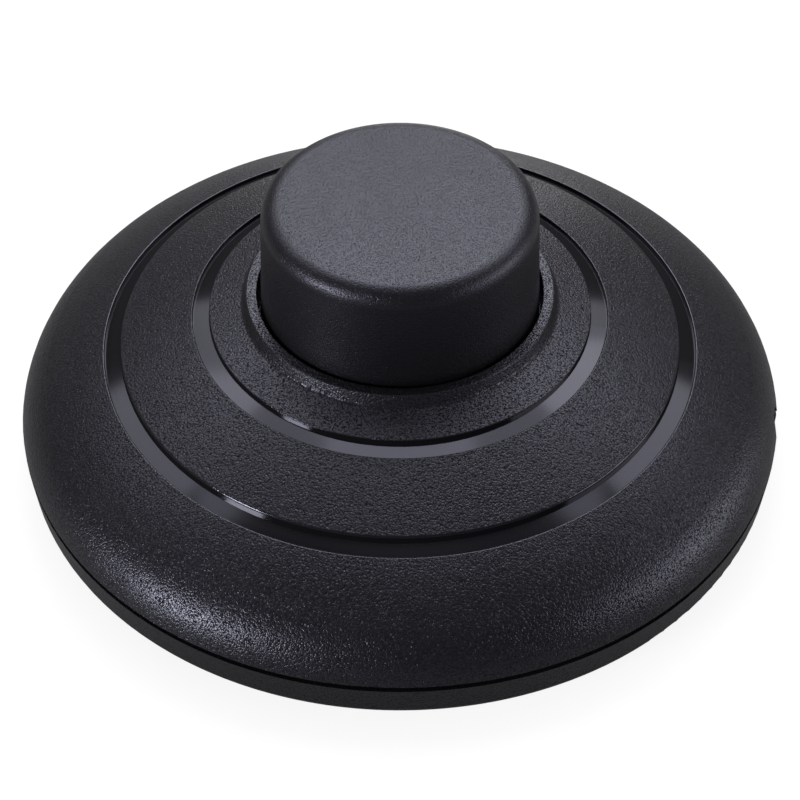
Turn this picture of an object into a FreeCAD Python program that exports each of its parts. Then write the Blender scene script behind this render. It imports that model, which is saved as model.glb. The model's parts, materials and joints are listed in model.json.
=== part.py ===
import FreeCAD, Part
import math
import os

# Lamp foot switch: a round floor switch with a domed cover, a large press button, a cord
# inlet on each side and a push-push ratchet mechanism inside.
# Lengths are millimetres and angles are degrees. Z is up, the floor is Z = 0, the button
# travels along the Z axis and the cord passes through the case along the X axis.

# Case
case_radius = 50.0
cover_wall = 2.4
base_floor = 2.4
base_rim_height = 5.0
base_edge_round = 1.5
base_draft = 0.35
parting_gap = 0.8
parting_depth = 1.2
spigot_wall = 1.6
spigot_rise = 1.2
spigot_clearance = 0.2

# Dome, from the rim inwards: steep shoulder, crown, groove, middle zone, groove, inner ring
rim_slope = 80.0
shoulder_slope = 35.0
shoulder_run = 3.7
shoulder_rise = 5.8
crown_turn = 13.6
crown_rise = 4.25
outer_groove_radius = 38.4
outer_groove_step = 1.05
outer_floor_rise = 0.5
middle_turn = 5.0
middle_rise = 3.7
inner_groove_radius = 26.7
inner_groove_step = 0.7
inner_floor_rise = 0.38
inner_ring_rise = 1.2
groove_width = 2.2
groove_depth = 0.45
groove_draft = 0.1
lip_round = 0.2
outer_edge_round = 0.4
inner_edge_round = 0.15

# Collar round the button
collar_width = 1.93
collar_height = 1.6
collar_draft = 0.53
collar_foot_round = 0.5
collar_outer_round = 0.2
collar_inner_round = 0.15
land_thickness = 2.8

# Button
button_radius = 17.3
button_proud = 14.2
button_draft = 2.3
button_round = 2.3
button_gap = 0.5
button_wall = 2.2
button_roof = 2.5
button_travel = 4.5
flange_width = 2.3
flange_thickness = 1.8
flange_clearance = 0.2
sleeve_clearance = 0.4
sleeve_wall = 1.6
socket_wall = 2.4
socket_depth = 9.5

# Ratchet: the plunger's teeth push the rotor round, and its bridge opens or closes the contacts
tooth_count = 8
tooth_gap_angle = 3.0
tooth_overlap_angle = 2.0
drive_angle = 40.0
tooth_steps = 2
tooth_inner_radius = 4.2
tooth_outer_radius = 8.4
tooth_clearance = 0.15
rotor_radius = 9.6
rotor_disc = 2.5
rotor_hub_radius = 3.4
rotor_clearance = 0.1
pin_radius = 1.5
pin_length = 19.1
pin_seat = 1.6
press_clearance = 0.02
rotor_running_clearance = 0.05
plunger_running_clearance = 0.1
pin_boss_radius = 3.6
pin_boss_height = 1.6
plunger_disc = 1.4
plunger_flats = 7.0
plunger_top_clearance = 0.6
plunger_engagement = 6.5
plunger_guide_clearance = 0.15

# Mechanism housing over the rotor
housing_clearance = 0.8
housing_wall = 1.8
housing_roof = 2.0
housing_roof_clearance = 0.3
ear_radius = 3.2
ear_circle = 15.8
ear_thickness = 2.5
ear_boss_height = 5.0
ear_count = 2
ear_first_angle = 45.0
window_side = 1.0
window_top = 1.4

# Return spring
spring_radius = 8.5
spring_wire = 1.2
spring_turns = 4.5
spring_clearance = 0.15
spring_sides = 6
spring_steps = 12

# Contacts and terminals, folded from brass strip
strip_thickness = 0.8
strip_width = 6.0
strip_pad_height = 1.0
strip_pad_edge = 0.5
strip_start = 6.4
terminal_clamp_gap = 4.0
terminal_depth = 6.5
terminal_height = 6.8
terminal_screw_inset = 3.5
tip_circle = 8.0
tip_radius = 1.6
tip_height = 0.2
bridge_thickness = 0.6
bridge_arm_width = 4.4
bridge_reach = 9.4
bridge_disc_radius = 6.9
bridge_gap = 0.1
bridge_arm_count = 4
bridge_rest_angle = 45.0
bridge_hub_clearance = 0.2
peg_circle = 5.6
peg_radius = 0.8
peg_clearance = 0.1
peg_proud = 0.2
link_offset = 21.0
link_half_length = 22.0
strip_screw_distance = 17.5

# Cord inlets and clamps
inlet_radius = 2.5
inlet_saddle_length = 8.0
inlet_saddle_half_width = 4.2
inlet_saddle_wall = 2.0
saddle_clearance = 0.4
clamp_inset = 14.0
clamp_width = 5.0
clamp_thickness = 2.8
clamp_screw_spacing = 12.8
clamp_end = 3.1
clamp_post_radius = 2.6
clamp_post_height = 5.0
clamp_arch_clearance = 0.4
ridge_height = 0.6
ridge_width = 2.0

# Screws: shank radius, head radius and head height
case_screw = (1.45, 3.0, 2.0)
clamp_screw = (1.25, 2.4, 1.6)
terminal_screw = (1.5, 2.6, 1.8)
strip_screw = (1.1, 2.1, 1.3)
housing_screw = (1.25, 2.3, 1.6)
screw_clearance = 0.25
thread_clearance = 0.05
screw_bottom_wall = 1.0

# Case screws and feet, in turn round one circle
fixing_inset = 12.0
case_screw_count = 3
case_screw_first_angle = 90.0
foot_count = 3
foot_first_angle = 30.0
case_post_radius = 4.6
case_post_height = 4.2
cover_boss_radius = 3.6
screw_head_recess = 3.0
case_screw_bite = 6.0
pilot_spare = 0.4
foot_radius = 5.9
foot_recess = 1.0
foot_clearance = 0.1
foot_proud = 0.6
foot_edge_chamfer = 0.3

# Stiffening ribs under the dome
rib_count = 6
rib_thickness = 1.4
rib_depth = 2.4
rib_outer_radius = 33.0

# Heights that follow from the sizes above
base_bottom = foot_proud
floor_z = base_bottom + base_floor
base_top = base_bottom + base_rim_height
rim_z = base_top + parting_gap
inlet_z = base_top + parting_gap / 2
spigot_top = base_top + spigot_rise
shoulder_z = rim_z + shoulder_rise
outer_lip_z = shoulder_z + crown_rise
outer_inside_z = outer_lip_z + outer_groove_step
inner_lip_z = outer_inside_z + middle_rise
inner_inside_z = inner_lip_z + inner_groove_step
collar_foot_z = inner_inside_z + inner_ring_rise
collar_top = collar_foot_z + collar_height
land_z = collar_foot_z - land_thickness
button_top = collar_top + button_proud
button_ceiling = button_top - button_roof
flange_top = land_z - flange_clearance
flange_bottom = flange_top - flange_thickness
strip_bottom = floor_z + strip_pad_height
strip_top = strip_bottom + strip_thickness
terminal_top = strip_bottom + terminal_height
tip_top = strip_top + tip_height
bridge_bottom = tip_top + bridge_gap
rotor_bottom = bridge_bottom + bridge_thickness
rotor_top = rotor_bottom + rotor_disc
pin_boss_top = floor_z + pin_boss_height
pin_bottom = floor_z - pin_seat
pin_top = pin_bottom + pin_length
tooth_span = 360.0 / tooth_count - tooth_gap_angle
tooth_lead = button_travel / math.radians(drive_angle)
tooth_height = tooth_lead * math.radians(tooth_span)
plunger_tip = rotor_top + tooth_lead * math.radians(tooth_span - tooth_overlap_angle) + tooth_clearance
plunger_root = plunger_tip + tooth_height
plunger_disc_top = plunger_root + plunger_disc
housing_ceiling = plunger_disc_top + housing_roof_clearance
housing_top = housing_ceiling + housing_roof
socket_bottom = button_ceiling - socket_depth
plunger_top = socket_bottom + plunger_engagement
ear_bottom = floor_z + ear_boss_height
ear_top = ear_bottom + ear_thickness
clamp_bottom = floor_z + clamp_post_height
clamp_top = clamp_bottom + clamp_thickness
case_post_top = floor_z + case_post_height
case_screw_seat = base_bottom + screw_head_recess
case_screw_tip = case_post_top + case_screw_bite

# Radii that follow from the sizes above
cover_inner_radius = case_radius - cover_wall
spigot_radius = cover_inner_radius - spigot_clearance
spigot_inner_radius = spigot_radius - spigot_wall
shoulder_radius = case_radius - shoulder_run
outer_groove_inside = outer_groove_radius - groove_width
inner_groove_inside = inner_groove_radius - groove_width
wall_taper = math.tan(math.radians(button_draft))
button_collar_radius = button_radius + wall_taper * (button_proud - button_round)
button_foot_radius = button_radius + wall_taper * (button_top - button_round - flange_top)
hole_radius = button_collar_radius + button_gap
collar_radius = hole_radius + collar_width
flange_radius = button_foot_radius + flange_width
sleeve_inner_radius = flange_radius + sleeve_clearance
sleeve_radius = sleeve_inner_radius + sleeve_wall
housing_inner_radius = rotor_radius + housing_clearance
housing_radius = housing_inner_radius + housing_wall
socket_radius = plunger_flats / math.sqrt(3) + socket_wall
fixing_circle = case_radius - fixing_inset
inlet_saddle_inner = case_radius - inlet_saddle_length
clamp_distance = case_radius - clamp_inset
terminal_reach = clamp_distance - clamp_width / 2 - terminal_clamp_gap


def vec(x, y, z):
    return FreeCAD.Vector(x, y, z)


def polar(radius, angle):
    """X and Y of a point at this radius and angle from the X axis."""
    return radius * math.cos(math.radians(angle)), radius * math.sin(math.radians(angle))


def ring_angles(count, first_angle=0.0):
    """Angles of so many like things spaced evenly round the Z axis."""
    return [first_angle + 360.0 / count * step for step in range(count)]


def ear_places():
    return [polar(ear_circle, angle) for angle in ring_angles(ear_count, ear_first_angle)]


def case_screw_places():
    return [polar(fixing_circle, angle) for angle in ring_angles(case_screw_count, case_screw_first_angle)]


def foot_places():
    return [polar(fixing_circle, angle) for angle in ring_angles(foot_count, foot_first_angle)]


def bridge_angles():
    return ring_angles(bridge_arm_count, bridge_rest_angle)


def disc(radius, low, high, x=0.0, y=0.0):
    """Upright round solid between two heights."""
    return Part.makeCylinder(radius, high - low, vec(x, y, low))


def block(x, y, z):
    """Box given by its low and high X, Y and Z."""
    return Part.makeBox(x[1] - x[0], y[1] - y[0], z[1] - z[0], vec(x[0], y[0], z[0]))


def bar_along_x(radius, low, high, z):
    """Round bar on the X axis at height z, from X = low to X = high."""
    return Part.makeCylinder(radius, high - low, vec(low, 0, z), vec(1, 0, 0))


def turned(shape, angle):
    """Copy of a shape, turned about the Z axis."""
    copy = shape.copy()
    copy.rotate(vec(0, 0, 0), vec(0, 0, 1), angle)
    return copy


def fused(shapes):
    return shapes[0].fuse(shapes[1:]).removeSplitter()


def lathe(points):
    """Solid of revolution about Z from a closed outline of (radius, height) points.

    A third number makes the stretch that ends there an arc that turns left by so many degrees,
    and a fourth is the radius that rounds the corner there.
    """
    edges = []
    for start, end in zip(points[-1:] + points[:-1], points):
        low, high = vec(start[0], 0, start[1]), vec(end[0], 0, end[1])
        if len(end) > 2 and end[2]:
            chord = high - low
            bulge = chord.Length / 2 * math.tan(math.radians(end[2]) / 4)
            right = vec(chord.z, 0, -chord.x).normalize()
            edges.append(Part.Arc(low, (low + high) * 0.5 + right * bulge, high).toShape())
        else:
            edges.append(Part.LineSegment(low, high).toShape())
    rounds = {}
    for place, point in enumerate(points):
        if len(point) == 4:
            after = (place + 1) % len(points)
            corner = Part.ChFi2d.FilletAlgo()
            corner.init(edges[place], edges[after], Part.Plane(vec(0, 0, 0), vec(0, 1, 0)))
            corner.perform(point[3])
            rounds[place], edges[place], edges[after] = corner.result(vec(point[0], 0, point[1]))
    outline = []
    for place, edge in enumerate(edges):
        outline.append(edge)
        if place in rounds:
            outline.append(rounds[place])
    return Part.Face(Part.Wire(outline)).revolve(vec(0, 0, 0), vec(0, 0, 1), 360)


def hexagon(flats, low, high):
    """Upright hexagonal bar, measured across its flats."""
    corners = [polar(flats / math.sqrt(3), 60 * step) for step in range(7)]
    outline = Part.makePolygon([vec(x, y, low) for x, y in corners])
    return Part.Face(outline).extrude(vec(0, 0, high - low))


def screw(size, x, y, seat, tip):
    """Plain pan-head screw with its head on the side of the seat away from the tip."""
    shank_radius, head_radius, head_height = size
    away = head_height if seat > tip else -head_height
    shank = disc(shank_radius, min(seat, tip), max(seat, tip), x, y)
    return shank.fuse(disc(head_radius, min(seat, seat + away), max(seat, seat + away), x, y))


def inset(radius, z, slope):
    """Point of the cover's inner face under a point of its outer face with this slope."""
    angle = math.radians(slope)
    return radius - cover_wall * math.sin(angle), z - cover_wall * math.cos(angle)


def inlet_bores():
    """The two round cord inlets through the case wall."""
    bore = bar_along_x(inlet_radius, inlet_saddle_inner - inlet_radius, case_radius + inlet_radius, inlet_z)
    return [bore, turned(bore, 180)]


def upper_cover():
    """Domed cover with two polished grooves, the button's collar and its guide sleeve."""
    floor_out, floor_in = outer_lip_z - groove_depth, inner_lip_z - groove_depth
    dome = lathe([
        (case_radius, rim_z),
        (shoulder_radius, shoulder_z, rim_slope - shoulder_slope),
        (outer_groove_radius, outer_lip_z, crown_turn, lip_round),
        (outer_groove_radius - groove_draft, floor_out),
        (outer_groove_inside + groove_draft, floor_out + outer_floor_rise),
        (outer_groove_inside, outer_inside_z, 0, outer_edge_round),
        (inner_groove_radius, inner_lip_z, middle_turn, lip_round),
        (inner_groove_radius - groove_draft, floor_in),
        (inner_groove_inside + groove_draft, floor_in + inner_floor_rise),
        (inner_groove_inside, inner_inside_z, 0, inner_edge_round),
        (collar_radius, collar_foot_z, 0, collar_foot_round),
        (collar_radius - collar_draft, collar_top, 0, collar_outer_round),
        (hole_radius, collar_top, 0, collar_inner_round),
        (hole_radius, base_top),
        (case_radius - parting_depth, base_top),
        (case_radius - parting_depth, rim_z),
    ])
    lip_slope = shoulder_slope - crown_turn
    cavity = lathe([
        (cover_inner_radius, base_top - cover_wall),
        (cover_inner_radius, spigot_top),
        inset(shoulder_radius, shoulder_z, shoulder_slope),
        inset(outer_groove_radius, outer_lip_z, lip_slope),
        inset(inner_groove_radius, inner_lip_z, lip_slope),
        (sleeve_radius, land_z),
        (hole_radius - cover_wall, land_z),
        (hole_radius - cover_wall, base_top - cover_wall),
    ])
    sleeve_bottom = flange_bottom - button_travel
    sleeve = disc(sleeve_radius, sleeve_bottom, land_z).cut(disc(sleeve_inner_radius, sleeve_bottom, land_z))
    bosses = [disc(cover_boss_radius, case_post_top, land_z, x, y) for x, y in case_screw_places()]
    saddle = block((inlet_saddle_inner, spigot_inner_radius - saddle_clearance),
                   (-inlet_saddle_half_width, inlet_saddle_half_width),
                   (rim_z, inlet_z + inlet_radius + inlet_saddle_wall))
    saddles = [saddle, turned(saddle, 180)]
    # A rib's lower edge runs parallel to the slope between the sleeve and the outer groove.
    rib_start_z, (rib_end_r, rib_end_z) = land_z, inset(outer_groove_radius, outer_lip_z, lip_slope)
    rib_fall = (rib_start_z - rib_end_z) / (rib_end_r - sleeve_radius)
    rib_low_start = rib_start_z - rib_depth
    rib_low_end = rib_low_start - rib_fall * (rib_outer_radius - sleeve_radius)
    rib_outline = Part.makePolygon([
        vec(sleeve_radius - sleeve_wall / 2, -rib_thickness / 2, land_z + cover_wall / 2),
        vec(sleeve_radius - sleeve_wall / 2, -rib_thickness / 2, rib_low_start),
        vec(rib_outer_radius, -rib_thickness / 2, rib_low_end),
        vec(rib_outer_radius, -rib_thickness / 2, land_z + cover_wall / 2),
        vec(sleeve_radius - sleeve_wall / 2, -rib_thickness / 2, land_z + cover_wall / 2),
    ])
    rib = Part.Face(rib_outline).extrude(vec(0, rib_thickness, 0))
    ribs = [turned(rib, angle) for angle in ring_angles(rib_count)]
    hollow = cavity.cut([sleeve] + bosses + saddles + ribs)

    pilot_radius = case_screw[0] + thread_clearance
    pilots = [disc(pilot_radius, case_post_top - pilot_spare, case_screw_tip + pilot_spare, x, y)
              for x, y in case_screw_places()]
    return dome.cut([hollow] + pilots + inlet_bores())


def base_plate():
    """Shallow dish that carries the mechanism, the terminals and the cord clamps."""
    dish = lathe([
        (0, base_bottom),
        (case_radius - base_draft - base_edge_round, base_bottom),
        (case_radius - base_draft, base_bottom + base_edge_round, 90),
        (case_radius, base_top),
        (spigot_radius, base_top),
        (spigot_radius, spigot_top),
        (spigot_inner_radius, spigot_top),
        (spigot_inner_radius, floor_z),
        (0, floor_z),
    ])
    half_pad = strip_width / 2 + strip_pad_edge
    raised = [disc(pin_boss_radius, base_bottom, pin_boss_top)]
    for side in (0, 180):
        pad = block((strip_start, terminal_reach + strip_pad_edge), (-half_pad, half_pad),
                    (floor_z, strip_bottom))
        ridge = block((clamp_distance - ridge_width / 2, clamp_distance + ridge_width / 2),
                      (-inlet_radius, inlet_radius), (floor_z, floor_z + ridge_height))
        saddle = block((inlet_saddle_inner, spigot_radius),
                       (-inlet_saddle_half_width, inlet_saddle_half_width), (floor_z, base_top))
        raised += [turned(shape, side) for shape in (pad, ridge, saddle)]
    raised.append(block((-link_half_length - strip_pad_edge, link_half_length + strip_pad_edge),
                        (link_offset - half_pad, link_offset + half_pad), (floor_z, strip_bottom)))
    raised += [disc(ear_radius, base_bottom, ear_bottom, x, y) for x, y in ear_places()]
    raised += [disc(clamp_post_radius, base_bottom, clamp_bottom, x, y) for x, y in clamp_screw_places()]
    raised += [disc(case_post_radius, base_bottom, case_post_top, x, y) for x, y in case_screw_places()]

    cuts = [disc(pin_radius + press_clearance, pin_bottom, pin_boss_top)]
    pilot_low = base_bottom + screw_bottom_wall
    cuts += [disc(housing_screw[0] + thread_clearance, pilot_low, ear_bottom, x, y) for x, y in ear_places()]
    cuts += [disc(clamp_screw[0] + thread_clearance, pilot_low, clamp_bottom, x, y)
             for x, y in clamp_screw_places()]
    cuts += [disc(strip_screw[0] + thread_clearance, pilot_low, strip_bottom, x, y)
             for x, y in strip_screw_places()]
    for x, y in case_screw_places():
        cuts.append(disc(case_screw[1] + screw_clearance, base_bottom, case_screw_seat, x, y))
        cuts.append(disc(case_screw[0] + screw_clearance, base_bottom, case_post_top, x, y))
    cuts += [disc(foot_radius + foot_clearance, base_bottom, base_bottom + foot_recess, x, y)
             for x, y in foot_places()]
    return fused([dish] + raised).cut(cuts + inlet_bores())


def push_button():
    """Hollow press button with a drafted wall, a stop flange and a socket for the plunger."""
    cap = lathe([
        (0, flange_bottom),
        (flange_radius, flange_bottom),
        (flange_radius, flange_top),
        (button_foot_radius, flange_top),
        (button_radius, button_top - button_round),
        (button_radius - button_round, button_top, 90 - button_draft),
        (0, button_top),
    ])
    hollow = lathe([
        (0, flange_bottom),
        (button_foot_radius - button_wall, flange_bottom),
        (button_radius - button_wall, button_ceiling),
        (0, button_ceiling),
    ])
    socket = disc(socket_radius, socket_bottom, button_ceiling)
    bore = hexagon(plunger_flats + 2 * press_clearance, socket_bottom, plunger_top + plunger_top_clearance)
    return cap.cut(hollow.cut(socket)).cut(bore)


def ratchet_teeth(low, back, start_angle):
    """Ring of saw teeth whose sloping faces rise by the lead, each built up to a flat back."""
    teeth = []
    for tooth in range(tooth_count):
        sections = []
        for step in range(tooth_steps + 1):
            rise_angle = tooth_span * step / tooth_steps
            angle = start_angle + 360.0 / tooth_count * tooth + rise_angle
            face = low + tooth_lead * math.radians(rise_angle)
            inner, outer = polar(tooth_inner_radius, angle), polar(tooth_outer_radius, angle)
            corners = [vec(*inner, back), vec(*outer, back), vec(*outer, face), vec(*inner, face)]
            sections.append(Part.makePolygon(corners + corners[:1]))
        teeth.append(Part.makeLoft(sections, True, True))
    return teeth


def plunger():
    """Hexagonal plunger, fixed in the button, with the driving teeth on its lower end."""
    tip_angle = tooth_span - tooth_overlap_angle
    head = disc(tooth_outer_radius, plunger_root, plunger_disc_top)
    shaft = hexagon(plunger_flats, plunger_root, plunger_top)
    teeth = ratchet_teeth(plunger_tip, plunger_root + plunger_disc / 2, tip_angle)
    bore_top = pin_top + button_travel + plunger_top_clearance
    bore = disc(pin_radius + plunger_running_clearance, plunger_root - tooth_height, bore_top)
    return fused([head, shaft] + teeth).cut(bore)


def ratchet_rotor():
    """Toothed rotor that turns on the pin, with pegs that carry the contact bridge."""
    wheel = disc(rotor_radius, rotor_bottom, rotor_top)
    hub = disc(rotor_hub_radius, pin_boss_top + rotor_clearance, rotor_bottom + rotor_disc / 2)
    teeth = ratchet_teeth(rotor_top, rotor_top - rotor_disc / 2, 0)
    peg_bottom, peg_root = bridge_bottom - peg_proud / 2, rotor_bottom + rotor_disc / 2
    pegs = [disc(peg_radius, peg_bottom, peg_root, *polar(peg_circle, angle)) for angle in bridge_angles()]
    bore = disc(pin_radius + rotor_running_clearance, floor_z, rotor_top)
    return fused([wheel, hub] + teeth + pegs).cut(bore)


def contact_bridge():
    """Cross-shaped bridge: two of its arms join the contacts at every other step of the rotor."""
    half = bridge_arm_width / 2
    arm = block((0, bridge_reach), (-half, half), (bridge_bottom, rotor_bottom))
    middle = disc(bridge_disc_radius, bridge_bottom, rotor_bottom)
    cross = fused([middle] + [turned(arm, angle) for angle in bridge_angles()])
    holes = [disc(rotor_hub_radius + bridge_hub_clearance, bridge_bottom, rotor_bottom)]
    holes += [disc(peg_radius + peg_clearance, bridge_bottom, rotor_bottom, *polar(peg_circle, angle))
              for angle in bridge_angles()]
    return cross.cut(holes)


def pivot_pin():
    return disc(pin_radius, pin_bottom, pin_top)


def mechanism_housing():
    """Cap over the rotor that guides the plunger, with two screwed ears and two contact windows."""
    shell = disc(housing_radius, floor_z, housing_top)
    shell = shell.cut(disc(housing_inner_radius, floor_z, housing_ceiling))
    ears = []
    for angle in ring_angles(ear_count, ear_first_angle):
        pad = disc(ear_radius, ear_bottom, ear_top, ear_circle)
        web = block((housing_inner_radius + housing_wall / 2, ear_circle), (-ear_radius, ear_radius),
                    (ear_bottom, ear_top))
        hole = disc(housing_screw[0] + screw_clearance, ear_bottom, ear_top, ear_circle)
        ears.append(turned(pad.fuse(web).cut(hole), angle))
    boss_room = [disc(ear_radius + screw_clearance, floor_z, ear_bottom, x, y) for x, y in ear_places()]
    half_window = strip_width / 2 + strip_pad_edge + window_side
    window = block((-housing_radius, housing_radius), (-half_window, half_window),
                   (floor_z, strip_top + window_top))
    guide = hexagon(plunger_flats + 2 * plunger_guide_clearance, housing_ceiling, housing_top)
    return fused([shell] + ears).cut(boss_room + [window, guide])


def return_spring():
    """Coil spring between the housing's roof and the button, as straight runs between hexagons."""
    half_wire = spring_wire / 2
    low = housing_top + spring_clearance + half_wire
    high = button_ceiling - spring_clearance - half_wire
    runs = int(spring_turns * spring_steps)
    sections = []
    for run in range(runs + 1):
        angle = 360.0 / spring_steps * run
        z = low + (high - low) * run / runs
        corners = []
        for side in range(spring_sides):
            around = math.radians(360.0 / spring_sides * side)
            x, y = polar(spring_radius + half_wire * math.cos(around), angle)
            corners.append(vec(x, y, z + half_wire * math.sin(around)))
        sections.append(Part.makePolygon(corners + corners[:1]))
    return Part.makeLoft(sections, True, True)


def terminal(outer_end):
    """Folded saddle at a strip's outer end, open towards the middle, with its screw's hole."""
    half = strip_width / 2
    wall = block((outer_end - strip_thickness, outer_end), (-half, half), (strip_bottom, terminal_top))
    flange = block((outer_end - terminal_depth, outer_end), (-half, half),
                   (terminal_top - strip_thickness, terminal_top))
    hole = disc(terminal_screw[0] + thread_clearance, terminal_top - strip_thickness, terminal_top,
                outer_end - terminal_screw_inset)
    return wall.fuse(flange).cut(hole)


def strip_screw_hole(x, y):
    return disc(strip_screw[0] + screw_clearance, strip_bottom, strip_top, x, y)


def live_contact(side):
    """Switched conductor's strip: contact end under the bridge, terminal near the cord."""
    half = strip_width / 2
    strip = block((strip_start, terminal_reach), (-half, half), (strip_bottom, strip_top))
    strip = fused([strip, terminal(terminal_reach)]).cut(strip_screw_hole(strip_screw_distance, 0))
    return turned(strip, side)


def neutral_link():
    """Unswitched conductor's strip, with a terminal at each end."""
    half = strip_width / 2
    strip = block((-link_half_length, link_half_length), (-half, half), (strip_bottom, strip_top))
    strip = fused([strip, terminal(link_half_length), turned(terminal(link_half_length), 180)])
    strip = strip.cut(strip_screw_hole(0, 0))
    strip.translate(vec(0, link_offset, 0))
    return strip


def contact_tips():
    return [disc(tip_radius, strip_top, tip_top, x) for x in (-tip_circle, tip_circle)]


def clamp_screw_places():
    half = clamp_screw_spacing / 2
    return [(x, y) for x in (-clamp_distance, clamp_distance) for y in (-half, half)]


def strip_screw_places():
    return [(-strip_screw_distance, 0), (strip_screw_distance, 0), (0, link_offset)]


def terminal_screw_places():
    live, link = terminal_reach - terminal_screw_inset, link_half_length - terminal_screw_inset
    return [(-live, 0), (live, 0), (-link, link_offset), (link, link_offset)]


def cord_clamp(side):
    """Bar that presses the cord against the base, arched over it."""
    half = clamp_screw_spacing / 2 + clamp_end
    bar = block((clamp_distance - clamp_width / 2, clamp_distance + clamp_width / 2), (-half, half),
                (clamp_bottom, clamp_top))
    arch = bar_along_x(inlet_radius + clamp_arch_clearance, clamp_distance - clamp_width,
                       clamp_distance + clamp_width, inlet_z)
    holes = [disc(clamp_screw[0] + screw_clearance, clamp_bottom, clamp_top, clamp_distance, y)
             for y in (-clamp_screw_spacing / 2, clamp_screw_spacing / 2)]
    return turned(bar.cut([arch] + holes), side)


def screws(size, places, seat, tip):
    return [screw(size, x, y, seat, tip) for x, y in places]


def rubber_foot(x, y):
    """Round pad in its recess, standing proud of the base."""
    top = base_bottom + foot_recess
    pad = lathe([
        (0, 0),
        (foot_radius - foot_edge_chamfer, 0),
        (foot_radius, foot_edge_chamfer),
        (foot_radius, top),
        (0, top),
    ])
    pad.translate(vec(x, y, 0))
    return pad


def all_parts():
    blind = base_bottom + screw_bottom_wall + pilot_spare
    parts = {
        "upper_cover": upper_cover(),
        "base_plate": base_plate(),
        "push_button": push_button(),
        "plunger": plunger(),
        "ratchet_rotor": ratchet_rotor(),
        "contact_bridge": contact_bridge(),
        "pivot_pin": pivot_pin(),
        "mechanism_housing": mechanism_housing(),
        "return_spring": return_spring(),
        "live_in_contact": live_contact(180),
        "live_out_contact": live_contact(0),
        "neutral_link": neutral_link(),
        "contact_tips": contact_tips(),
        "cord_clamp_in": cord_clamp(180),
        "cord_clamp_out": cord_clamp(0),
        "case_screws": screws(case_screw, case_screw_places(), case_screw_seat, case_screw_tip),
        "clamp_screws": screws(clamp_screw, clamp_screw_places(), clamp_top, blind),
        "terminal_screws": screws(terminal_screw, terminal_screw_places(), terminal_top, strip_top),
        "strip_screws": screws(strip_screw, strip_screw_places(), strip_top, blind),
        "housing_screws": screws(housing_screw, ear_places(), ear_top, blind),
    }
    for number, (x, y) in enumerate(foot_places(), 1):
        parts[f"rubber_foot_{number}"] = rubber_foot(x, y)
    return parts


os.makedirs("parts", exist_ok=True)
for node, shape in all_parts().items():
    if isinstance(shape, list):
        shape = Part.makeCompound(shape)
    shape.exportStep(f"parts/{node}.step")
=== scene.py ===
import bmesh
import bpy
import json
import math
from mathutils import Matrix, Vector


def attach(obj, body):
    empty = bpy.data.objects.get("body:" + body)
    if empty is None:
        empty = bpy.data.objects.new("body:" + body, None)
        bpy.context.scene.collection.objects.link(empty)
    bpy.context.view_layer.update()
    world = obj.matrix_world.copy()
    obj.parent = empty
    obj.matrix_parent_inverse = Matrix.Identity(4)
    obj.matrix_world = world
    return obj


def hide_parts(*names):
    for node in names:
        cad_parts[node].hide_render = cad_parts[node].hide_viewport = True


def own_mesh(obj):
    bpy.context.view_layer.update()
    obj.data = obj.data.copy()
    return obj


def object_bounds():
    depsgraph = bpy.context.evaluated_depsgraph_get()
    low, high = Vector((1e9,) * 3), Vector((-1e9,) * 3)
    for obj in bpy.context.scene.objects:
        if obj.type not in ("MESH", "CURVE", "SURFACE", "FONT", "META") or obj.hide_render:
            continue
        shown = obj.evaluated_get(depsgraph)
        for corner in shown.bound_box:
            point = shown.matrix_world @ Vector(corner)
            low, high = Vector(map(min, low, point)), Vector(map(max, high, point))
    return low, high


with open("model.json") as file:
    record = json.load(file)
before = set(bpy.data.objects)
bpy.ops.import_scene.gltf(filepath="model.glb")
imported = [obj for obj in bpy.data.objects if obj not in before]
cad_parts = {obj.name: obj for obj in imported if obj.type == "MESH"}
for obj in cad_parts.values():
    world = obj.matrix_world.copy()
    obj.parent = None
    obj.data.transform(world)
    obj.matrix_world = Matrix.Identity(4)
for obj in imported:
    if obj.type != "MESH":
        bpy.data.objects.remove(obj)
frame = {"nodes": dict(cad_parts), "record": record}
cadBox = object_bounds()  # the solids' own box, before anything is added
nodes = frame["nodes"]
slots = {entry["node"]: entry["material_slot"] for entry in frame["record"]["subparts"]}

hair = 1e-6     # metres, points closer than this meet
hairDigits = 6  # decimals that tell points a hair apart


# Small tools

def deselectAll():
    if bpy.context.mode != "OBJECT":
        bpy.ops.object.mode_set(mode="OBJECT")
    bpy.ops.object.select_all(action="DESELECT")


def pickOnly(*pieces):
    deselectAll()
    for piece in pieces:
        piece.select_set(True)
    bpy.context.view_layer.objects.active = pieces[0]


def added():  # the primitive just made, with its place in its mesh
    bpy.ops.object.transform_apply(location=True, rotation=True, scale=True)
    return bpy.context.object


def editWhere(piece, kind, test):  # edit mode, with only the faces or edges that pass selected
    pickOnly(piece)
    bpy.ops.object.mode_set(mode="EDIT")
    bpy.ops.mesh.select_mode(type=kind)
    bpy.ops.mesh.select_all(action="DESELECT")
    mesh = bmesh.from_edit_mesh(piece.data)
    for part in mesh.faces if kind == "FACE" else mesh.edges:
        part.select_set(test(part))
    bmesh.update_edit_mesh(piece.data)


def lowest(part):
    return min(vert.co.z for vert in part.verts)


def highest(part):
    return max(vert.co.z for vert in part.verts)


def facesDown(face):
    return face.normal.z < -0.99  # within 8 degrees of straight down


def applyModifier(piece, kind, **values):
    pickOnly(piece)
    modifier = piece.modifiers.new(kind.title(), kind)
    for name, value in values.items():
        setattr(modifier, name, value)
    bpy.ops.object.modifier_apply(modifier=modifier.name)


def settle(piece, name, smoothAngle):  # place into the mesh, faces smooth up to an angle
    pickOnly(piece)
    bpy.ops.object.transform_apply(location=True, rotation=True, scale=True)
    bpy.ops.object.shade_smooth_by_angle(angle=math.radians(smoothAngle))
    piece.name = name


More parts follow.
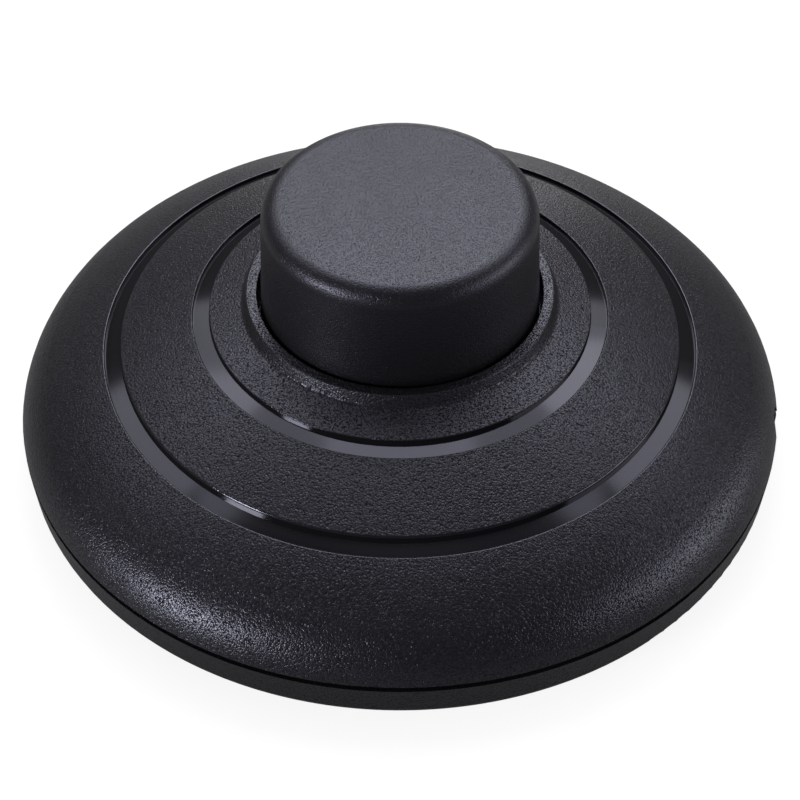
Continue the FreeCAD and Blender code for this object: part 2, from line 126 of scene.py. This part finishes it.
def nodeBox(node):
    corners = [Vector(corner) for corner in nodes[node].bound_box]
    return Vector(map(min, *corners)), Vector(map(max, *corners))


def cornerOf(points):  # where a solid starts in X and Y, to a tenth of a millimetre
    return [round(min(point[axis] for point in points), 4) for axis in (0, 1)]


def islands(node):  # points of each separate solid in a CAD node
    merged = bmesh.new()
    merged.from_mesh(nodes[node].data)
    bmesh.ops.remove_doubles(merged, verts=merged.verts, dist=hair)
    waiting = set(merged.verts)
    groups = []
    while waiting:
        front = [waiting.pop()]
        points = []
        while front:
            vert = front.pop()
            points.append(vert.co.copy())
            for edge in vert.link_edges:
                other = edge.other_vert(vert)
                if other in waiting:
                    waiting.remove(other)
                    front.append(other)
        groups.append(points)
    merged.free()
    return sorted(groups, key=cornerOf)


# Materials

def newMaterial(name):
    material = bpy.data.materials.new(name)
    material.use_nodes = True
    return material, material.node_tree.nodes["Principled BSDF"]


def addNode(material, kind, settings=None, **inputs):
    node = material.node_tree.nodes.new(kind)
    for name, value in (settings or {}).items():
        setattr(node, name, value)
    for name, value in inputs.items():
        node.inputs[name].default_value = value
    return node


def link(material, fromSocket, toSocket):
    material.node_tree.links.new(fromSocket, toSocket)


def objectPlace(material):
    return addNode(material, "ShaderNodeTexCoord").outputs["Object"]


smoothNoise = {"detail": 1.0}
cloudNoise = {"detail": 3.0, "roughness": 0.55}
tarnishNoise = {"detail": 4.0, "roughness": 0.6}
lineDetail = 3.0  # of the drawn lines on metal


def objectNoise(material, scale, detail=2.0, roughness=0.5):
    noise = addNode(material, "ShaderNodeTexNoise", Scale=scale, Detail=detail, Roughness=roughness)
    link(material, objectPlace(material), noise.inputs["Vector"])
    return noise.outputs["Fac"]


def mapTo(material, socket, low, high, fromLow=0.3, fromHigh=0.7):  # noise mostly stays in this range
    ramp = addNode(material, "ShaderNodeMapRange")
    ramp.inputs["From Min"].default_value = fromLow
    ramp.inputs["From Max"].default_value = fromHigh
    ramp.inputs["To Min"].default_value = low
    ramp.inputs["To Max"].default_value = high
    link(material, socket, ramp.inputs["Value"])
    return ramp.outputs["Result"]


def mathNode(material, operation, first, second=None):
    node = addNode(material, "ShaderNodeMath", {"operation": operation})
    for place, value in enumerate((first, second)):
        if value is None:
            continue
        if isinstance(value, (int, float)):
            node.inputs[place].default_value = value
        else:
            link(material, value, node.inputs[place])
    return node.outputs["Value"]


def mixTones(material, share, dark, light):
    mix = addNode(material, "ShaderNodeMix", {"data_type": "RGBA"})
    sockets = {socket.identifier: socket for socket in mix.inputs}
    sockets["A_Color"].default_value = (*dark, 1)
    sockets["B_Color"].default_value = (*light, 1)
    link(material, share, sockets["Factor_Float"])
    return next(socket for socket in mix.outputs if socket.identifier == "Result_Color")


def roughen(material, shader, height, depth):  # relief of the given depth in metres
    bump = addNode(material, "ShaderNodeBump", Distance=depth)
    link(material, height, bump.inputs["Height"])
    link(material, bump.outputs["Normal"], shader.inputs["Normal"])
    return bump


def ringBand(material, rings, soft, floor):  # 1 in the rings round Z above a height, 0 elsewhere
    place = objectPlace(material)
    parts = addNode(material, "ShaderNodeSeparateXYZ")
    link(material, place, parts.inputs["Vector"])
    flat = addNode(material, "ShaderNodeVectorMath", {"operation": "MULTIPLY"})
    flat.inputs[1].default_value = (1, 1, 0)
    link(material, place, flat.inputs[0])
    length = addNode(material, "ShaderNodeVectorMath", {"operation": "LENGTH"})
    link(material, flat.outputs["Vector"], length.inputs[0])
    total = None
    for inner, outer in rings:
        middle, half = (outer + inner) / 2, (outer - inner) / 2
        offset = mathNode(material, "SUBTRACT", length.outputs["Value"], middle)
        away = mathNode(material, "ABSOLUTE", offset)
        band = mapTo(material, away, 1.0, 0.0, half - soft, half + soft)
        total = band if total is None else mathNode(material, "MAXIMUM", total, band)
    above = mathNode(material, "GREATER_THAN", parts.outputs["Z"], floor)
    return mathNode(material, "MULTIPLY", total, above)


skinLook = {                     # shared by the three plastics
    "swellScale": 0.7,           # of the grain's own scale
    "swellFrom": (0.35, 0.65),   # noise values of the flattest and steepest grains
    "paintedGlintAndShadeFrom": (0.2, 0.75),    # distances that count as a grain's crown and its hollow, for the painted glint and shade
    "specularLevel": 0.5,        # midway between crown and hollow
}


def mouldedPlastic(name, look):  # spark-eroded moulding skin with painted glint on the grain crowns and painted shade in their hollows, polished where a ring says so
    material, shader = newMaterial(name)
    grains = addNode(material, "ShaderNodeTexVoronoi", Scale=look["grainScale"])
    link(material, objectPlace(material), grains.inputs["Vector"])
    away = grains.outputs["Distance"]  # from the middle of the grain
    fine = objectNoise(material, look["fineScale"], **smoothNoise)
    cloud = objectNoise(material, look["cloudScale"], **cloudNoise)
    uneven = objectNoise(material, look["grainScale"] * skinLook["swellScale"], **smoothNoise)
    swell = mapTo(material, uneven, *look["swell"], *skinLook["swellFrom"])
    bowl = mathNode(material, "MULTIPLY", away, away)
    dome = mathNode(material, "MULTIPLY", bowl, swell)
    dust = mathNode(material, "MULTIPLY", fine, look["fineShare"])
    bump = roughen(material, shader, mathNode(material, "SUBTRACT", dust, dome), look["grainDepth"])
    tone = mixTones(material, cloud, look["darkTone"], look["lightTone"])
    gloss = mapTo(material, cloud, look["roughLow"], look["roughHigh"])
    # painted glint and shade: specular level raised on each grain's crown and lowered in its hollow
    paintedGlintAndShade = mapTo(material, away, look["paintedGlintAndShade"], -look["paintedGlintAndShade"], *skinLook["paintedGlintAndShadeFrom"])
    if "polishedRings" in look:
        polished = ringBand(material, look["polishedRings"], look["ringSoft"], look["ringsAbove"])
        plain = mathNode(material, "SUBTRACT", 1.0, polished)
        link(material, plain, bump.inputs["Strength"])
        drop = mathNode(material, "SUBTRACT", look["polishedRough"], gloss)
        gloss = mathNode(material, "ADD", gloss, mathNode(material, "MULTIPLY", drop, polished))
        dimmed = mathNode(material, "MULTIPLY", polished, look["ringDim"])
        paintedGlintAndShade = mathNode(material, "SUBTRACT", mathNode(material, "MULTIPLY", paintedGlintAndShade, plain), dimmed)
    level = mathNode(material, "ADD", paintedGlintAndShade, skinLook["specularLevel"])
    link(material, tone, shader.inputs["Base Color"])
    link(material, gloss, shader.inputs["Roughness"])
    link(material, level, shader.inputs["Specular IOR Level"])
    shader.inputs["Specular Tint"].default_value = (*look["specularTint"], 1)
    return material


casePlasticLook = {
    "darkTone": (0.0050, 0.0050, 0.0060),
    "lightTone": (0.0080, 0.0080, 0.0092),
    "cloudScale": 70.0,
    "grainScale": 4000.0,        # grains of about 0.25 mm
    "swell": (0.3, 2.1),         # flattest and steepest grains
    "fineScale": 7000.0,
    "fineShare": 0.1,
    "grainDepth": 0.000042,
    "paintedGlintAndShade": 0.22,               # painted glint and shade: swing of the specular level from crown to hollow
    "roughLow": 0.32,
    "roughHigh": 0.35,
    "specularTint": (0.78, 0.78, 1.0),
    "polishedRings": ((0.02448, 0.02675), (0.0361, 0.03855)),  # floors and lips of the grooves
    "ringSoft": 0.00006,
    "ringsAbove": 0.012,         # on the cover, not on the base below it
    "polishedRough": 0.1,
    "ringDim": 0.09,             # taken off the specular level in the rings
}
buttonPlasticLook = {
    "darkTone": (0.0032, 0.0032, 0.0040),
    "lightTone": (0.0052, 0.0052, 0.0062),
    "cloudScale": 90.0,
    "grainScale": 5200.0,        # finer than the case's
    "swell": (0.3, 2.2),
    "fineScale": 9500.0,
    "fineShare": 0.1,
    "grainDepth": 0.000022,
    # painted glint and shade on the grains, as a swing of the specular level
    "paintedGlintAndShade": 0.07,
    "roughLow": 0.36,
    "roughHigh": 0.4,
    "specularTint": (0.78, 0.78, 1.0),
}
innerPlasticLook = {
    "darkTone": (0.016, 0.016, 0.017),
    "lightTone": (0.026, 0.026, 0.027),
    "cloudScale": 160.0,
    "grainScale": 1400.0,        # coarser, as on a tool that wasn't textured
    "swell": (0.6, 1.4),
    "fineScale": 5200.0,
    "fineShare": 0.1,
    "grainDepth": 0.00002,
    # painted glint and shade on the grains, as a swing of the specular level
    "paintedGlintAndShade": 0.08,
    "roughLow": 0.38,
    "roughHigh": 0.5,
    "specularTint": (1.0, 1.0, 1.0),
}


def cloudedFinish(material, shader, cloud, gloss, look):  # uneven tone and gloss
    tone = mixTones(material, cloud, look["dark"], look["light"])
    link(material, tone, shader.inputs["Base Color"])
    link(material, mapTo(material, gloss, *look["rough"]), shader.inputs["Roughness"])


nylonLook = {
    "dark": (0.62, 0.6, 0.54),
    "light": (0.74, 0.72, 0.66),
    "cloudScale": 220.0,
    "cloudDetail": 3.0,
    "skinScale": 1800.0,
    "skinDepth": 0.000006,
    "rough": (0.32, 0.46),
    "seeInto": 0.3,              # share of the light that goes below the surface
    "seeDepth": 0.0006,
}


def nylonMaterial(look):
    material, shader = newMaterial("nylon")
    cloud = objectNoise(material, look["cloudScale"], look["cloudDetail"])
    cloudedFinish(material, shader, cloud, cloud, look)
    roughen(material, shader, objectNoise(material, look["skinScale"]), look["skinDepth"])
    shader.inputs["Subsurface Weight"].default_value = look["seeInto"]
    shader.inputs["Subsurface Scale"].default_value = look["seeDepth"]
    return material


rubberLook = {
    "dark": (0.012, 0.012, 0.012),
    "light": (0.026, 0.026, 0.025),
    "cloudScale": 300.0,
    "skinScale": 3200.0,
    "skinDepth": 0.00002,
    "rough": (0.62, 0.85),
}


def rubberMaterial(look):
    material, shader = newMaterial("footRubber")
    cloud = objectNoise(material, look["cloudScale"], **tarnishNoise)
    cloudedFinish(material, shader, cloud, cloud, look)
    roughen(material, shader, objectNoise(material, look["skinScale"]), look["skinDepth"])
    return material


brassLook = {
    "dark": (0.5, 0.33, 0.1),
    "light": (0.68, 0.48, 0.18),
    "cloudScale": 260.0,
    "lineScale": 900.0,
    "drawScale": (1, 14, 14),    # lines run along X
    "lineDepth": 0.000003,
    "rough": (0.22, 0.42),
}
silverLook = {
    "dark": (0.66, 0.65, 0.62),
    "light": (0.84, 0.83, 0.8),
    "cloudScale": 500.0,
    "lineScale": 2400.0,
    "drawScale": (1, 1, 1),      # pressed, without a direction
    "lineDepth": 0.000002,
    "rough": (0.18, 0.32),
}
platedLook = {
    "dark": (0.48, 0.48, 0.47),
    "light": (0.62, 0.62, 0.6),
    "cloudScale": 420.0,
    "lineScale": 1500.0,
    "drawScale": (1, 1, 6),      # lines lie level
    "lineDepth": 0.000003,
    "rough": (0.24, 0.42),
}
springSteelLook = {
    "dark": (0.3, 0.3, 0.31),
    "light": (0.44, 0.44, 0.45),
    "cloudScale": 350.0,
    "lineScale": 1600.0,
    "drawScale": (1, 1, 10),
    "lineDepth": 0.000002,
    "rough": (0.2, 0.34),
}


def metalMaterial(name, look):  # drawn or plated metal with fine lines and uneven tarnish
    material, shader = newMaterial(name)
    stretch = addNode(material, "ShaderNodeMapping")
    stretch.inputs["Scale"].default_value = look["drawScale"]
    lines = addNode(material, "ShaderNodeTexNoise", Scale=look["lineScale"], Detail=lineDetail)
    link(material, objectPlace(material), stretch.inputs["Vector"])
    link(material, stretch.outputs["Vector"], lines.inputs["Vector"])
    cloud = objectNoise(material, look["cloudScale"], **tarnishNoise)
    both = mathNode(material, "ADD", lines.outputs["Fac"], cloud)
    cloudedFinish(material, shader, cloud, mathNode(material, "DIVIDE", both, 2.0), look)
    roughen(material, shader, lines.outputs["Fac"], look["lineDepth"])
    shader.inputs["Metallic"].default_value = 1.0
    return material


finishes = {
    "case_plastic": mouldedPlastic("casePlastic", casePlasticLook),
    "button_plastic": mouldedPlastic("buttonPlastic", buttonPlasticLook),
    "inner_plastic": mouldedPlastic("innerPlastic", innerPlasticLook),
    "nylon": nylonMaterial(nylonLook),
    "contact_brass": metalMaterial("contactBrass", brassLook),
    "contact_silver": metalMaterial("contactSilver", silverLook),
    "plated_steel": metalMaterial("platedSteel", platedLook),
    "spring_steel": metalMaterial("springSteel", springSteelLook),
    "foot_rubber": rubberMaterial(rubberLook),
}
print("materials made:", len(finishes))


def dress(piece, slotName):
    piece.data.materials.clear()
    piece.data.materials.append(finishes[slotName])


for nodeName, slotName in slots.items():
    dress(nodes[nodeName], slotName)
print("solids dressed:", len(slots))


# New pieces

def takePlace(piece, body, node):  # rides on the body and stands for the solid, in its finish
    dress(piece, slots[node])
    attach(piece, body)
    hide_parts(node)


springLook = {
    "wire": 0.0012,
    "turns": 4.5,
    "sides": 16,
    "stepsPerTurn": 40,
    "solidSides": 6,             # of the wire in the CAD solid
    "seat": 0.02127,             # top of the mechanism housing, where the spring stands
    "kept": 0.7,                 # share of its length left when the button is down
    "smoothAngle": 40,
}


def makeSpring(look):
    low, high = nodeBox("return_spring")
    half = look["wire"] / 2
    margin = half * math.sin(2 * math.pi / look["solidSides"])  # from the wire's middle to the box
    deselectAll()
    bpy.ops.mesh.primitive_circle_add(vertices=look["sides"], radius=half,
                                      rotation=(math.radians(90), 0, 0),
                                      location=(high.x - half, 0, low.z + margin))
    spring = added()
    steps = round(look["turns"] * look["stepsPerTurn"])
    applyModifier(spring, "SCREW", axis="Z", angle=math.radians(360 * look["turns"]),
                  screw_offset=high.z - low.z - 2 * margin, steps=steps, render_steps=steps,
                  use_merge_vertices=False)
    pickOnly(spring)
    bpy.ops.object.mode_set(mode="EDIT")
    bpy.ops.mesh.select_all(action="SELECT")
    bpy.ops.mesh.fill_holes(sides=0)
    bpy.ops.mesh.normals_make_consistent(inside=False)
    settle(spring, "coilSpring", look["smoothAngle"])
    takePlace(spring, "housing", "return_spring")
    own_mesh(spring)


screwLook = {
    "sides": 32,
    "headRound": 0.55,           # of the head's height
    "roundSteps": 6,
    "pitch": 0.0006,
    "ringsPerTurn": 6,
    "threadDepth": 0.00022,
    "tipLength": 0.0008,
    "tipTaper": 0.55,
    "recessDepth": 0.55,         # of the head's height
    "recessWidth": 0.3,          # of the head's radius, as the next two are
    "crossLength": 1.15,
    "slotLength": 2.2,
    "restAngle": 37,             # each screw stopped this much further round than the one before
    "smoothAngle": 35,
}


def measureScrew(points):
    xs, ys = [p.x for p in points], [p.y for p in points]
    x, y = (min(xs) + max(xs)) / 2, (min(ys) + max(ys)) / 2
    reach = {}  # radius at each of the three heights
    for point in points:
        z = round(point.z, hairDigits)
        reach[z] = max(reach.get(z, 0), math.hypot(point.x - x, point.y - y))
    bottom, seat, top = sorted(reach)
    head, tip = (top, bottom) if reach[top] > reach[bottom] else (bottom, top)
    return {"place": (x, y, seat), "headUp": head > tip, "headHeight": abs(head - seat),
            "headRadius": reach[head], "length": abs(seat - tip), "shankRadius": reach[tip]}


def cutThread(screw, size, look, shankEnd):
    editWhere(screw, "EDGE", lambda edge: abs(lowest(edge) - shankEnd) < hair
              and abs(highest(edge)) < hair)  # the shank's upright edges
    bpy.ops.mesh.subdivide(number_cuts=round(-shankEnd / look["pitch"] * look["ringsPerTurn"]))
    mesh = bmesh.from_edit_mesh(screw.data)
    for vert in mesh.verts:
        if shankEnd + hair < vert.co.z < -look["pitch"] / 2:
            turn = math.atan2(vert.co.y, vert.co.x) / (2 * math.pi)
            rise = (vert.co.z / look["pitch"] - turn) % 1
            valley = abs(2 * rise - 1)  # 0 on the crest, 1 in the root
            shrink = 1 - valley * look["threadDepth"] / size["shankRadius"]
            vert.co.x *= shrink
            vert.co.y *= shrink
    bmesh.update_edit_mesh(screw.data)


def cutRecess(screw, size, look, slotted):
    depth, width = size["headHeight"] * look["recessDepth"], size["headRadius"] * look["recessWidth"]
    length = size["headRadius"] * look["slotLength" if slotted else "crossLength"]
    for angle in (0,) if slotted else (0, 90):
        deselectAll()
        bpy.ops.mesh.primitive_cube_add(size=1, scale=(length, width, 2 * depth),
                                        location=(0, 0, size["headHeight"]),
                                        rotation=(0, 0, math.radians(angle)))
        cutter = added()
        applyModifier(screw, "BOOLEAN", object=cutter, operation="DIFFERENCE", solver="EXACT")
        bpy.data.objects.remove(cutter)


def makeScrew(size, look, slotted):  # head up, its seat at the origin
    height, radius = size["headHeight"], size["headRadius"]
    shankEnd = look["tipLength"] - size["length"]
    deselectAll()
    bpy.ops.mesh.primitive_cylinder_add(vertices=look["sides"], radius=radius, depth=height,
                                        location=(0, 0, height / 2))
    screw = added()
    editWhere(screw, "EDGE", lambda edge: lowest(edge) > height - hair)
    bpy.ops.mesh.bevel(offset=height * look["headRound"], segments=look["roundSteps"], affect="EDGES")
    editWhere(screw, "FACE", facesDown)
    bpy.ops.mesh.inset(thickness=radius - size["shankRadius"])
    for drop in (shankEnd, -look["tipLength"]):
        bpy.ops.mesh.extrude_region_move(TRANSFORM_OT_translate={"value": (0, 0, drop)})
    bpy.ops.transform.resize(value=(look["tipTaper"], look["tipTaper"], 1))
    cutThread(screw, size, look, shankEnd)
    cutRecess(screw, size, look, slotted)
    return screw


def makeScrews(node, name, look, slotted=False):
    sizes = [measureScrew(points) for points in islands(node)]
    pattern = makeScrew(sizes[0], look, slotted)
    copies = []
    for number, size in enumerate(sizes):
        pickOnly(pattern)
        bpy.ops.object.duplicate()
        copy = bpy.context.object
        tip = 0 if size["headUp"] else math.pi
        copy.rotation_euler = (tip, 0, math.radians(look["restAngle"] * number))
        copy.location = size["place"]
        copies.append(copy)
    bpy.data.objects.remove(pattern)
    pickOnly(*copies)
    bpy.ops.object.join()
    group = bpy.context.object
    settle(group, name, look["smoothAngle"])
    takePlace(group, "housing", node)


footLook = {
    "sides": 72,
    "edgeRound": 0.00045,
    "roundSteps": 5,
    "rings": 2,
    "land": 0.0011,              # flat rubber before each grip ring
    "ringSlope": 0.00018,
    "ringWidth": 0.0007,
    "ringDepth": 0.00035,
    "smoothAngle": 40,
}


def makeFoot(node, name, look):
    low, high = nodeBox(node)
    deselectAll()
    bpy.ops.mesh.primitive_cylinder_add(vertices=look["sides"], radius=(high.x - low.x) / 2,
                                        depth=high.z - low.z, location=(low + high) / 2)
    foot = added()
    editWhere(foot, "EDGE", lambda edge: highest(edge) < low.z + hair)
    bpy.ops.mesh.bevel(offset=look["edgeRound"], segments=look["roundSteps"], affect="EDGES")
    editWhere(foot, "FACE", facesDown)
    for ring in range(look["rings"]):  # grip rings sunk into the face that meets the floor
        bpy.ops.mesh.inset(thickness=look["land"])
        bpy.ops.mesh.inset(thickness=look["ringSlope"], depth=-look["ringDepth"])
        bpy.ops.mesh.inset(thickness=look["ringWidth"])
        bpy.ops.mesh.inset(thickness=look["ringSlope"], depth=look["ringDepth"])
    settle(foot, name, look["smoothAngle"])
    takePlace(foot, "housing", node)


makeSpring(springLook)
makeScrews("case_screws", "crossCaseScrews", screwLook)
makeScrews("clamp_screws", "crossClampScrews", screwLook)
makeScrews("housing_screws", "crossHousingScrews", screwLook)
makeScrews("strip_screws", "slottedStripScrews", screwLook, slotted=True)
makeScrews("terminal_screws", "slottedTerminalScrews", screwLook, slotted=True)
for number in (1, 2, 3):
    makeFoot(f"rubber_foot_{number}", f"gripFoot{number}", footLook)
print("new pieces made: spring, screws and feet")


# Floor, lights and camera

def whiteShare(material, look):  # 1 for the camera, a share in reflections and through clear parts
    path = addNode(material, "ShaderNodeLightPath").outputs
    mirrored = mathNode(material, "ADD", path["Is Glossy Ray"], path["Is Transmission Ray"])
    dimmed = mathNode(material, "MULTIPLY", mirrored, look["mirroredShare"])
    seen = mathNode(material, "ADD", path["Is Camera Ray"], dimmed)
    return mathNode(material, "MULTIPLY", seen, look["white"])


floorLook = {
    "size": 3.0,
    "tone": (0.17, 0.17, 0.17),  # takes the shadow
    "rough": 0.9,
    "white": 0.88,               # the lamps bring the rest
    "mirroredShare": 0.16,       # dark plastic takes only a dim image of it
}


def makeFloor(look):
    deselectAll()
    bpy.ops.mesh.primitive_plane_add(size=look["size"], location=(0, 0, cadBox[0].z))
    floor = bpy.context.object
    floor.name = "floor"
    material, shader = newMaterial("paleFloor")
    shader.inputs["Base Color"].default_value = (*look["tone"], 1)
    shader.inputs["Roughness"].default_value = look["rough"]
    shader.inputs["Specular IOR Level"].default_value = 0.0
    shader.inputs["Emission Color"].default_value = (1, 1, 1, 1)
    link(material, whiteShare(material, look), shader.inputs["Emission Strength"])
    floor.data.materials.append(material)


worldLook = {"tone": (1, 1, 1), "ambient": 0.1, "white": 0.9, "mirroredShare": 0.05}


def makeWorld(look):
    world = bpy.context.scene.world or bpy.data.worlds.new("studio")
    bpy.context.scene.world = world
    world.use_nodes = True
    background = world.node_tree.nodes["Background"]
    background.inputs["Color"].default_value = (*look["tone"], 1)
    strength = mathNode(world, "ADD", whiteShare(world, look), look["ambient"])
    link(world, strength, background.inputs["Strength"])


def direction(azimuth, elevation):  # unit vector to a place round the object, 0 is towards -Y
    a, e = math.radians(azimuth), math.radians(elevation)
    return Vector((math.sin(a) * math.cos(e), -math.cos(a) * math.cos(e), math.sin(e)))


cameraLook = {
    "azimuth": 7.5,
    "elevation": 44.9,
    "distance": 0.3,
    "target": (0, 0, 0.0044),
    "lens": 100.67,
    "sensor": 36.0,
    "nearest": 0.01,
}


def makeCamera(look):
    deselectAll()
    away = direction(look["azimuth"], look["elevation"])
    bpy.ops.object.camera_add(location=Vector(look["target"]) + away * look["distance"])
    camera = bpy.context.object
    camera.rotation_euler = (-away).to_track_quat("-Z", "Y").to_euler()
    camera.data.lens = look["lens"]
    camera.data.sensor_width = look["sensor"]
    camera.data.clip_start = look["nearest"]
    bpy.context.scene.camera = camera


# Azimuths are counted from the camera's side, positive to its right.
lampLooks = {
    "backSoftbox": {"azimuth": 180, "elevation": 55.5, "distance": 0.9,
                    "size": (0.74, 0.55), "radiance": 2.05},  # sheen over the back half
    "backHotspot": {"azimuth": 180, "elevation": 53, "distance": 0.88,
                    "size": (0.3, 0.38), "radiance": 6.0},    # top of the button
    "backTop": {"azimuth": 180, "elevation": 68, "distance": 0.86,
                "size": (0.26, 0.14), "radiance": 1.6},       # front of the inner groove
    "overhead": {"azimuth": 180, "elevation": 86, "distance": 0.9,
                 "size": (0.3, 0.1), "radiance": 4.0},        # front of the cover
    "leftTop": {"azimuth": -126, "elevation": 50, "distance": 0.9,
                "size": (0.48, 0.28), "radiance": 2.4},       # left of the cover
    "rightTop": {"azimuth": 130, "elevation": 49, "distance": 0.9,
                 "size": (0.5, 0.28), "radiance": 3.0},       # right of the cover
    "leftKey": {"azimuth": -55, "elevation": 11, "distance": 0.9,
                "size": (0.22, 0.16), "radiance": 52.0},      # sparkle at the front left
    "rightCard": {"azimuth": 82, "elevation": 13, "distance": 0.9,
                  "size": (0.72, 0.32), "radiance": 4.2},     # soft edge at the right
    "horizonCard": {"azimuth": 177, "elevation": 3.5, "distance": 1.2,
                    "size": (0.5, 0.13), "radiance": 5.8},    # far edge of the cover
}


def makeLamp(name, look):
    deselectAll()
    away = direction(look["azimuth"] + cameraLook["azimuth"], look["elevation"])
    width, height = look["size"]
    bpy.ops.object.light_add(type="AREA", location=away * look["distance"])
    lamp = bpy.context.object
    lamp.name = name
    lamp.rotation_euler = (-away).to_track_quat("-Z", "Y").to_euler()
    lamp.data.shape = "RECTANGLE"
    lamp.data.size, lamp.data.size_y = width, height
    lamp.data.energy = look["radiance"] * math.pi * width * height
    lamp.visible_camera = False


makeFloor(floorLook)
makeWorld(worldLook)
for lampName, lampLook in lampLooks.items():
    makeLamp(lampName, lampLook)
makeCamera(cameraLook)
bpy.context.scene.view_settings.view_transform = "Standard"
print("studio set:", len(lampLooks), "lamps")
